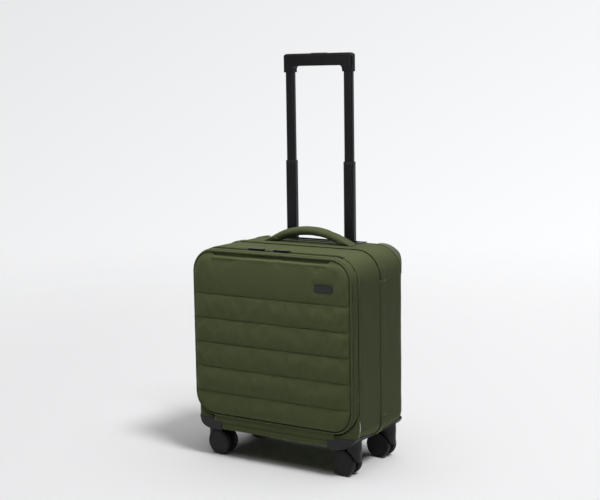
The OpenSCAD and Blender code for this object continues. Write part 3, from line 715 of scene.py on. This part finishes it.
def carry_handle():
    """The padded arch over the top: round at its middle and flat at its two feet."""

    def chord(half, rise, x):
        r = (half * half + rise * rise) / (2 * rise)
        return TOP + rise - turned(r, abs(x))

    outer, inner = (108.0, 34.0), (75.0, 14.5)
    rings = []
    across = 28
    for i in range(73):
        s = -1 + 2 * i / 72
        x = 107.4 * math.sin(s * math.pi / 2) * 0.35 + 107.4 * s * 0.65
        high = max(TOP + 0.5, chord(*outer, x)) - 0.2
        low = max(TOP + 0.12, chord(*inner, x)) + 0.2
        high = max(high, low + 1.2)
        middle, tall = (high + low) / 2, (high - low) / 2
        wide = 12.6 + 1.2 * smoothstep(70, 104, abs(x))
        power = 2.2 + 1.4 * smoothstep(60, 100, abs(x))
        loop = []
        for k in range(across):
            a = 2 * math.pi * k / across
            c, d = math.cos(a), math.sin(a)
            loop.append((
                x,
                51.0 + wide * math.copysign(abs(c) ** (2 / power), c),
                middle + tall * math.copysign(abs(d) ** (2 / power), d),
            ))
        rings.append(loop)
    count = len(rings)
    verts, faces = loft(rings, closed_across=False)
    faces += [tuple(range(across)), tuple((count - 1) * across + k for k in reversed(range(across)))]
    obj = piece("carry_handle_pad", verts, faces, REAR, "handle_fabric", replaces=["carry_handle"])
    inflate(obj, lambda p: abs(p.x) > 84 or p.z < TOP + 1.0, 3.0, 0.02, 1.6)
    subdivide(obj)
    ruffle(obj, 0.35, 15.0, lambda p: smoothstep(104, 80, abs(p.x)), 6.0)
    runs = []
    for y in (41.0, 61.0):
        points = []
        for i in range(61):
            x = -100 + 200 * i / 60
            high = chord(*outer, x)
            low = max(TOP, chord(*inner, x))
            tilt = smoothstep(0, 6, high - low)
            z = (high + low) / 2 + (high - low) / 2 * (0.92 - 0.34 * tilt)
            at = (x, 51 + (y - 51) * (1.06 + 0.08 * tilt), z)
            points.append((at, (0.0, math.copysign(0.6, y - 51), 0.8)))
        runs.append((points, False))
    stitches("carry_handle_stitches", REAR, "handle_fabric", runs)


# ---- front half ----


def front_body():
    """The padded walls of the front half, lined inside and sewn at both edges."""
    profile = strip(-78.9, 0.5, 0.1, 4.9, 1.8, 4, 9.0)
    obj = band("front_body_skin", BODY, profile, FRONT, "body_fabric", replaces=["front_shell"])
    ruffle(obj, 0.5, 46.0, lambda p: smoothstep(86, 100, p.z) * smoothstep(-2, -12, p.y), 1.0)
    ruffle(obj, 0.16, 9.0, None, 7.0)
    side_lining("front_side_lining", -77.5, -0.6, FRONT)
    runs = [ring_run(BODY, y, 0.02, lambda x, z: z > 92) for y in (-75.6, -2.6)]
    stitches("front_body_stitches", FRONT, "body_fabric", runs)


def front_base():
    """The padded block below the flap and round its lower corners, with a sewn upper strip."""
    seam = 76.0
    outer_r = FLAP_R + BASE_ROOM + 0.2

    def low(x):
        return BOTTOM + turned(BOTTOM_R, abs(x) - (HALF_W - BOTTOM_R))

    def high(x):
        return FLAP_LOW + FLAP_R - outer_r + turned(outer_r, abs(x) - (FLAP_HALF - FLAP_R))

    def corner(x):
        return turned(FRONT_R, abs(x) - (HALF_W - FRONT_R))

    def front(x, z):
        d = min(z - low(x), high(x) - z)
        sunk = 1.3 * math.exp(-(((z - seam) / 1.0) ** 2)) * smoothstep(190, 180, abs(x))
        step = 0.8 * smoothstep(seam - 0.6, seam + 0.8, z)
        y = BASE_FRONT + 3.4 + corner(x) - 2.6 * roll(d, 3.0) - step + sunk
        return min(y, -79.4)

    angles = [math.radians(a) for a in (8, 16, 24, 32, 40, 48, 56, 64, 71)]
    bend = [HALF_W - FRONT_R + FRONT_R * math.sin(a) for a in angles]
    columns = [-x for x in reversed(bend)] + list(np.linspace(-173.0, 173.0, 72)) + bend
    shares = [0.0, 0.03, 0.08, 0.16, 0.3, 0.4, 0.46, 0.5, 0.52, 0.54, 0.58, 0.65, 0.74, 0.84, 0.92, 0.97, 1.0]
    verts = []
    for y_of in (front, lambda x, z: -78.9):
        for v in shares:
            for x in columns:
                z = low(x) + (min(high(x), BASE_HIGH) - low(x)) * v
                verts.append((x, y_of(x, z), z))
    obj = piece("front_base_pad", verts, slab_faces(len(columns), len(shares)), FRONT, "body_fabric")
    ruffle(obj, 0.25, 22.0, None, 12.0)
    runs = [face_run((-126, seam + 2.4), (126, seam + 2.4), -100.95, -1.0)]
    stitches("front_base_stitches", FRONT, "body_fabric", runs)


def flap_hinge():
    """The strip of cloth under the flap."""
    rows = np.linspace(79.5, 93.4, 15)
    columns = np.linspace(-146.0, 146.0, 60)
    rings = []
    for y, heights in ((-101.5, rows), (-102.1, reversed(rows))):
        for z in heights:
            rings.append([(x, y - 0.25 * math.sin((z - 79.5) * 0.5), z) for x in columns])
    verts, faces = loft(rings, closed_along=False)
    obj = piece("flap_hinge_cloth", verts, faces, None, "body_fabric")
    ruffle(obj, 0.2, 14.0, None, 2.5)
    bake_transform(obj)


def divider():
    size = (189.3, 67.7, 441.3, 36.3, 46.3)
    stands_for = ["divider_panel"]
    lining_sheet("divider_cloth", size, -40.6, -38.6, FRONT, 0.6, 40.0, 3.0, stands_for)


def laptop_sleeve():
    """An open-topped pocket with a soft bound rim, and its floor."""
    half, low, high, face, back, thick = 183.8, 108.2, 330.0, -64.8, -41.3, 1.9
    right = [(half - 3, face), (half, face + 3), (half, back)]
    path = [(-x, y) for x, y in reversed(right)] + right
    dense = []
    for a, b in zip(path[:-1], path[1:]):
        count = max(1, round(math.dist(a, b) / 7.0))
        dense += [(a[0] + (b[0] - a[0]) * i / count, a[1] + (b[1] - a[1]) * i / count) for i in range(count)]
    dense.append(path[-1])

    def wall(z, inset):
        """The pocket's walls at one height: inset is 0 on the outer face and thick on the inner one."""
        bulge = 1.6 * math.sin(math.pi * (z - low) / (high - low))
        loop = []
        for x, y in dense:
            out = bulge * (1 - (x / half) ** 2) * (y < face + 1)
            aside = math.copysign(inset, x) * (abs(x) > half - 3.5)
            loop.append((x - aside, y + inset * (y < face + 3.5) - out, z))
        return loop

    levels = [low, low + 1.5, low + 5, *np.linspace(low + 14, high - 9, 24), high - 4, high - 1.5, high]
    rings = [wall(z, 0.0) for z in levels] + [wall(z, thick) for z in reversed(levels)]
    verts, faces = loft(rings, closed_along=False)
    obj = piece("laptop_sleeve_pad", verts, faces, FRONT, "lining", replaces=["laptop_sleeve"])
    ruffle(obj, 0.4, 30.0, None, 5.5)
    corners = ((back, low), (back, low + thick), (face + 1.0, low + thick), (face + 1.0, low))
    rings = [[(x, y, z) for x in np.linspace(-half + 1, half - 1, 30)] for y, z in corners]
    verts, faces = loft(rings, closed_along=False)
    piece("laptop_sleeve_floor", verts, faces, FRONT, "lining")


def laptop_strap():
    outside = [(-41.6, 351.6), (-62.0, 351.4), (-66.4, 349.0), (-66.7, 342.0), (-66.8, 320.0), (-66.8, 305.0)]
    inside = [(-65.2, 305.0), (-65.2, 320.0), (-65.1, 341.0), (-64.6, 347.4), (-61.4, 350.0), (-41.6, 350.2)]
    loop = densify(rounded(outside + inside, 0.8, 2), 3.0)
    rings = [[(x, y, z) for x in np.linspace(-15.5, 15.5, 9)] for y, z in loop]
    verts, faces = loft(rings, closed_along=False)
    piece("laptop_strap_webbing", verts, faces, FRONT, "webbing", replaces=["laptop_strap"])


# ---- front flap ----


def flap_side():
    """The flap's rim, with its lining."""
    corners = [(-89.2, 0.15), (-101.1, 0.15), (-101.15, 15.0), (-98.5, 15.0), (-98.5, 3.6), (-89.2, 3.6)]
    profile = densify(rounded(corners, 1.5, 4), 5.0)
    obj = band("flap_side_cloth", FLAP, profile, FLAP_BODY, "body_fabric", replaces=["flap_frame"])
    ruffle(obj, 0.22, 14.0, None, 1.5)
    size = (188.8, 94.7, 440.8, 45.8, 45.8)
    lining_sheet("flap_lining_sheet", size, -91.6, -89.4, FLAP_BODY, 0.5, 38.0, 6.5)
    stitches("flap_side_stitches", FLAP_BODY, "body_fabric", [ring_run(FLAP, -91.6, 0.08)])


QUILT_R = FLAP_R - PANEL_IN
QUILT = (FLAP_HALF - PANEL_IN, FLAP_LOW + PANEL_IN, FLAP_HIGH - PANEL_IN, QUILT_R, QUILT_R)
QUILT_EDGE, QUILT_LEVEL = 102.2, 105.4


def mouth_drop(x):
    """How far the quilted panel's top edge dips below the pocket mouth at x."""
    return (QUILT[2] - MOUTH_LOW) * (1 - smoothstep(MOUTH_HALF - 1.5, MOUTH_HALF + 2.5, abs(x)))


def quilt_shape(x, z):
    """Squeeze the top rows down where the mouth is."""
    return x, z - mouth_drop(x) * smoothstep(392.0, QUILT[2], z)


def quilt_depth(x, z):
    """How far the quilt stands forward at (x, z)."""
    d = min(sdf(x, z, *QUILT), QUILT[2] - mouth_drop(x) - z + 0.4)
    cuts = (QUILT[1] + 2, *QUILT_SEAMS, MOUTH_LOW + 0.5)
    puff = 0.0
    for low, high in zip(cuts[:-1], cuts[1:]):
        if low <= z <= high:
            t = abs(2 * (z - low) / (high - low) - 1)
            tall = 4.6 if high > 400 else 5.2
            puff = tall * (0.42 * (1 - t**2) + 0.58 * roll(min(z - low, high - z), 5.0))
    near = min(abs(z - s) for s in QUILT_SEAMS)
    pucker = 0.5 * math.exp(-((near / 9.0) ** 2)) * noise.noise(Vector((x / 7.5, near / 20.0, z / 300.0)))
    crown = 1.6 * (1 - (x / 184) ** 2) * (1 - ((z - 240) / 196) ** 2)
    along = smoothstep(MOUTH_HALF + 3, MOUTH_HALF - 6, abs(x))
    hem = 2.6 * math.exp(-(((z - MOUTH_LOW + 3.5) / 3.2) ** 2)) * along
    base = QUILT_EDGE + (QUILT_LEVEL - QUILT_EDGE) * roll(d, 4.0)
    return base + (puff + pucker) * roll(d, 16.0) + crown + hem


def quilted_panel():
    """The front's padded panel, sewn across in six channels, with the pocket mouth along its top."""
    verts, faces = plate(
        QUILT, lambda x, z: -quilt_depth(x, z), lambda x, z: -101.5, 4.6, QUILT_SEAMS, (), quilt_shape
    )
    obj = piece("quilted_front_pad", verts, faces, FLAP_BODY, "quilt_fabric", replaces=["quilted_panel"])

    def held(p):
        near = min(abs(p.z - s) for s in QUILT_SEAMS)
        return p.y > -101.8 or near < 1.4 or min(sdf(p.x, p.z, *QUILT), MOUTH_LOW - p.z + 4) < 3.0

    inflate(obj, held, 5.0, 0.03, 1.3)
    subdivide(obj)
    # the quilt lies flat behind the badge
    for v in obj.data.vertices:
        dx = abs(v.co.x / MM - BADGE_AT[0]) - BADGE_HALF[0]
        dz = abs(v.co.z / MM - BADGE_AT[1]) - BADGE_HALF[1]
        if v.co.y < -0.104 and max(dx, dz) < 8.0:
            share = 1 - smoothstep(0.5, 8.0, max(dx, dz))
            v.co.y += (max(v.co.y, -0.10995) - v.co.y) * share

    def on_seam(x, z):
        return -quilt_depth(x, z) + 0.1

    runs = [face_run((-178, s), (178, s), on_seam, -1.0, 4.0) for s in QUILT_SEAMS]
    # the seam stitches use the darker thread, which paints the shade of the seam grooves
    stitches("quilt_stitches", FLAP_BODY, "quilt_fabric", runs, material=DARK_SEAM_THREAD_PAINTED_SHADE)
    hem = MOUTH_LOW - 5.2
    runs = [face_run((-MOUTH_HALF, hem), (MOUTH_HALF, hem), lambda x, z: -quilt_depth(x, z) - 0.05, -1.0)]
    stitches("pocket_hem_stitches", FLAP_BODY, "quilt_fabric", runs)


def badge_face():
    """A blank metal plate inside the badge's black rim."""
    half = (BADGE_HALF[0] - 3.6, BADGE_HALF[1] - 3.0)
    size = (half[0], BADGE_AT[1] - half[1], BADGE_AT[1] + half[1], 2.4, 2.4)
    verts, faces = plate(size, lambda x, z: -111.5, lambda x, z: -111.0, 3.0)
    verts = [(x + BADGE_AT[0], y, z) for x, y, z in verts]
    piece("badge_face_plate", verts, faces, FLAP_BODY, "badge_plate", material=BADGE_FACE)


def piping():
    """The round cord sewn in around the flap's front edge."""
    r = 0.97 * PIPING_R
    angles = [2 * math.pi * k / 14 for k in range(14)]
    profile = [(PIPING_Y + r * math.cos(a), PIPING_IN + r * math.sin(a)) for a in angles]
    shape = outline(FLAP_HALF, FLAP_LOW, FLAP_HIGH, FLAP_R, FLAP_R, pitch=2.2, turn=34)
    obj = band("front_piping_cord", shape, profile, FLAP_BODY, "piping_fabric", replaces=["front_piping"])
    ruffle(obj, 0.2, 3.4, None, 2.2)


def zips():
    """The tapes and teeth of the front zip and the main zip."""

    def open_top(x, z):
        return z > FLAP_LOW + FLAP_R

    def left_of_hinge(x, z):
        return x < 144

    tapes = (
        ("flap_zip_tape", FLAP_BODY, "flap_zip", GROOVE_FRONT + 0.15, ZIP_Y - 0.25, open_top),
        ("shell_zip_tape", FRONT, "shell_zip", ZIP_Y + 0.25, GROOVE_BACK - 0.15, open_top),
        ("main_zip_front_tape", FRONT, "main_zip_front", 0.75, MAIN_ZIP_Y - 0.25, left_of_hinge),
        ("main_zip_rear_tape", REAR, "main_zip_rear", MAIN_ZIP_Y + 0.25, FLAP_EDGE - 2.15, None),
    )
    for name, body, node, y0, y1, keep in tapes:
        profile = strip(y0, y1, ZIP_IN + 0.02, ZIP_IN + 0.9, 0.3, 2, 1.5)
        obj = band(name, BODY, profile, body, "zip_tape", keep, replaces=[node])
        ruffle(obj, 0.05, 5.0)
    teeth = (
        ("flap_zip_teeth", FLAP_BODY, ZIP_Y, -1, open_top),
        ("shell_zip_teeth", FRONT, ZIP_Y, 1, open_top),
        ("main_zip_front_teeth", FRONT, MAIN_ZIP_Y, -1, left_of_hinge),
        ("main_zip_rear_teeth", REAR, MAIN_ZIP_Y, 1, left_of_hinge),
    )
    for name, body, centre, side, keep in teeth:
        tooth_row(name, body, centre, side, keep)


def zip_lips():
    """Strips of cloth that lean over the front zip at both sides, clear of the pulls' run."""

    def beside(sign):
        return lambda x, z: sign * x > 162 and z > 118

    front = [(-89.6, 2.4), (-86.4, 1.5), (-84.7, 2.1), (-84.9, 2.9), (-86.4, 2.8), (-89.6, 3.6)]
    back = [(-78.6, 0.3), (-81.4, 0.2), (-83.2, 1.2), (-83.0, 2.2), (-81.2, 1.6), (-78.6, 1.6)]
    front, back = (densify(rounded(corners, 0.5, 2), 1.5) for corners in (front, back))
    for side, keep in (("left", beside(-1)), ("right", beside(1))):
        band(f"flap_zip_lip_{side}", BODY, front, FLAP_BODY, "body_fabric", keep)
        band(f"shell_zip_lip_{side}", BODY, back, FRONT, "body_fabric", keep)


# ---- the CAD nodes that keep their shape ----


def finish_nodes():
    """Give each CAD node the material of its slot."""
    slots = {entry["node"]: entry["material_slot"] for entry in frame["record"]["subparts"]}
    for name, obj in frame["nodes"].items():
        look = LOOKS[slots[name]]
        for place in obj.material_slots:
            place.material = look


def rivets():
    """Two round rivet heads at the top of each upper tube."""
    profile = ((89.95, 2.2), (89.84, 2.1), (89.81, 1.5), (89.8, 0.7))
    count = 20
    angles = [2 * math.pi * k / count for k in range(count)]
    for name, x in (("tube_rivets_left", -TUBE_X), ("tube_rivets_right", TUBE_X)):
        verts, faces = [], []
        for z in RIVET_HEIGHTS:
            rings = [[(x + r * math.cos(a), y, z + r * math.sin(a)) for a in angles] for y, r in profile]
            points, quads = loft(rings, closed_across=False)
            quads += [tuple(range(len(points) - count, len(points))), tuple(reversed(range(count)))]
            faces += [tuple(len(verts) + i for i in quad) for quad in quads]
            verts += points
        piece(name, verts, faces, "upper_stage", "tube_coating", material=RIVET)


# ---- floor, light and camera ----

TURN, PITCH, TILT = (math.radians(a) for a in (32.64, 7.95, -0.85))  # how the camera points
LENS, CAMERA_AT = 74.31, (1.3759, -2.1366, 0.7929)
RIGHT = (math.cos(TURN), math.sin(TURN), 0.0)
AWAY = (-RIGHT[1], RIGHT[0], 0.0)
BACKDROP, SHINE, FILL = (0.83, 0.94), (0.05, 0.8), 0.03


def floor():
    """A pale floor, its colour painted lighter towards the right as painted light, that fades into the
    background far from the case.
    """
    look = Look("floor_pale", (0.8, 0.8, 0.81), 0.8, Specular_IOR_Level=0.0)
    coords = look.node("TexCoord").outputs["Object"]
    # painted light: the floor's colour is made lighter towards the right, where more light falls
    across = look.node("VectorMath", {0: coords, 1: RIGHT}, operation="DOT_PRODUCT").outputs["Value"]
    side = look.node("MapRange", {"Value": across, "From Min": -0.7, "From Max": 0.7})
    look.tint(side.outputs[0], 0.97, 1.08)
    far = look.node("VectorMath", {0: coords}, operation="LENGTH").outputs["Value"]
    fade = look.node("MapRange", {"Value": far, "From Min": 0.9, "From Max": 3.8})
    fade.interpolation_type = "SMOOTHSTEP"
    look.bump(look.noise(400.0, 3.0), 0.00005)
    clear = look.node("BsdfTransparent")
    mix = look.node("MixShader", {"Fac": fade.outputs[0]})
    look.tree.links.new(look.shader.outputs[0], mix.inputs[1])
    look.tree.links.new(clear.outputs[0], mix.inputs[2])
    look.tree.links.new(mix.outputs[0], look.tree.nodes["Material Output"].inputs["Surface"])
    radii = (0.3, 0.6, 1.0, 1.5, 2.2, 3.0, 4.0, 5.2)
    count, level = 96, -0.0002
    verts = [(0.0, 0.0, level)]
    for r in radii:
        angles = (2 * math.pi * k / count for k in range(count))
        verts += [(r * math.cos(a), r * math.sin(a), level) for a in angles]
    faces = []
    for k in range(count):
        n = (k + 1) % count
        faces.append((0, 1 + k, 1 + n))
        for a in range(1, 1 + (len(radii) - 1) * count, count):
            faces.append((a + k, a + count + k, a + count + n, a + n))
    mesh = bpy.data.meshes.new("floor_sheet")
    mesh.from_pydata(verts, [], faces)
    mesh.materials.append(look.material)
    obj = bpy.data.objects.new("floor_sheet", mesh)
    bpy.context.scene.collection.objects.link(obj)


def sky():
    """A pale backdrop, brighter to the right, with a dim fill and brighter reflections."""
    world = bpy.data.worlds.new("studio")
    bpy.context.scene.world = world
    world.use_nodes = True
    tree = world.node_tree
    seen = tree.nodes["Background"]
    seen.inputs[0].default_value = (0.985, 0.99, 1.0, 1.0)
    coords = tree.nodes.new("ShaderNodeTexCoord")

    def ramp(direction, start, end, low, high):
        along = tree.nodes.new("ShaderNodeVectorMath")
        along.operation = "DOT_PRODUCT"
        tree.links.new(coords.outputs["Generated"], along.inputs[0])
        along.inputs[1].default_value = direction
        scaled = tree.nodes.new("ShaderNodeMapRange")
        tree.links.new(along.outputs["Value"], scaled.inputs["Value"])
        for key, value in (("From Min", start), ("From Max", end), ("To Min", low), ("To Max", high)):
            scaled.inputs[key].default_value = value
        return scaled.outputs[0]

    level = tree.nodes.new("ShaderNodeMath")
    level.operation = "MULTIPLY"
    tree.links.new(ramp(RIGHT, -0.24, 0.24, *BACKDROP), level.inputs[0])
    tree.links.new(ramp((0.0, 0.0, 1.0), -0.14, 0.06, 1.07, 0.985), level.inputs[1])
    tree.links.new(level.outputs[0], seen.inputs[1])
    path = tree.nodes.new("ShaderNodeLightPath")
    shown = seen.outputs[0]
    for ray, strength in (("Is Glossy Ray", ramp(AWAY, -0.1, 0.6, *SHINE)), ("Is Diffuse Ray", None)):
        other = tree.nodes.new("ShaderNodeBackground")
        other.inputs[0].default_value = (0.97, 0.98, 1.0, 1.0)
        other.inputs[1].default_value = FILL
        if strength is not None:
            tree.links.new(strength, other.inputs[1])
        mix = tree.nodes.new("ShaderNodeMixShader")
        tree.links.new(path.outputs[ray], mix.inputs[0])
        tree.links.new(shown, mix.inputs[1])
        tree.links.new(other.outputs[0], mix.inputs[2])
        shown = mix.outputs[0]
    tree.links.new(shown, tree.nodes["World Output"].inputs[0])


def lamp(kind, name, strength, lights_floor):
    """A lamp that lights either the floor or everything else, and is shadowed by both."""
    light = bpy.data.lights.new(name, kind)
    light.energy = strength
    obj = bpy.data.objects.new(name, light)
    bpy.context.scene.collection.objects.link(obj)
    lit = bpy.data.collections.new(name + "_lit")
    lit.objects.link(bpy.data.objects["floor_sheet"])
    obj.light_linking.receiver_collection = lit
    if not lights_floor:
        lit.collection_objects[0].light_linking.link_state = "EXCLUDE"
    return obj


def sun(name, towards, strength, angle, lights_floor):
    obj = lamp("SUN", name, strength, lights_floor)
    obj.data.angle = math.radians(angle)
    obj.rotation_euler = Vector(towards).to_track_quat("Z", "Y").to_euler()


def softbox(name, place, aim, size, power):
    obj = lamp("AREA", name, power, False)
    obj.data.shape = "RECTANGLE"
    obj.data.size, obj.data.size_y = size
    obj.location = place
    obj.rotation_euler = (Vector(aim) - Vector(place)).to_track_quat("-Z", "Y").to_euler()
    obj.visible_camera = False


def camera():
    forward = Vector((-math.sin(TURN) * math.cos(PITCH), math.cos(TURN) * math.cos(PITCH), -math.sin(PITCH)))
    right = Vector(RIGHT)
    up = right.cross(forward)
    across = right * math.cos(TILT) + up * math.sin(TILT)
    above = -right * math.sin(TILT) + up * math.cos(TILT)
    data = bpy.data.cameras.new("camera")
    data.sensor_width = 36.0
    data.lens = LENS
    data.clip_start, data.clip_end = 0.05, 60.0
    obj = bpy.data.objects.new("camera", data)
    place = Matrix((across, above, -forward)).transposed().to_4x4()
    place.translation = CAMERA_AT
    obj.matrix_world = place
    bpy.context.scene.collection.objects.link(obj)
    bpy.context.scene.camera = obj


camera()
floor()
sky()
sun("floor_key", (0.61, -0.2, 1.0), 1.85, 14.0, True)
sun("floor_soft", (0.1, 0.0, 1.0), 1.65, 76.0, True)
sun("case_key", (0.03, -0.05, 1.0), 3.7, 16.0, False)
softbox("case_front", (0.12, -0.56, 1.1), (0.0, -0.1, 0.46), (0.6, 0.3), 4.9)
bpy.context.scene.view_settings.view_transform = "Standard"

rear_body()
back_panel()
rear_linings()
storm_flap()
hinge_cloth()
carry_handle()
front_body()
front_base()
flap_hinge()
divider()
laptop_sleeve()
laptop_strap()
flap_side()
quilted_panel()
badge_face()
piping()
zips()
zip_lips()
rivets()
finish_nodes()
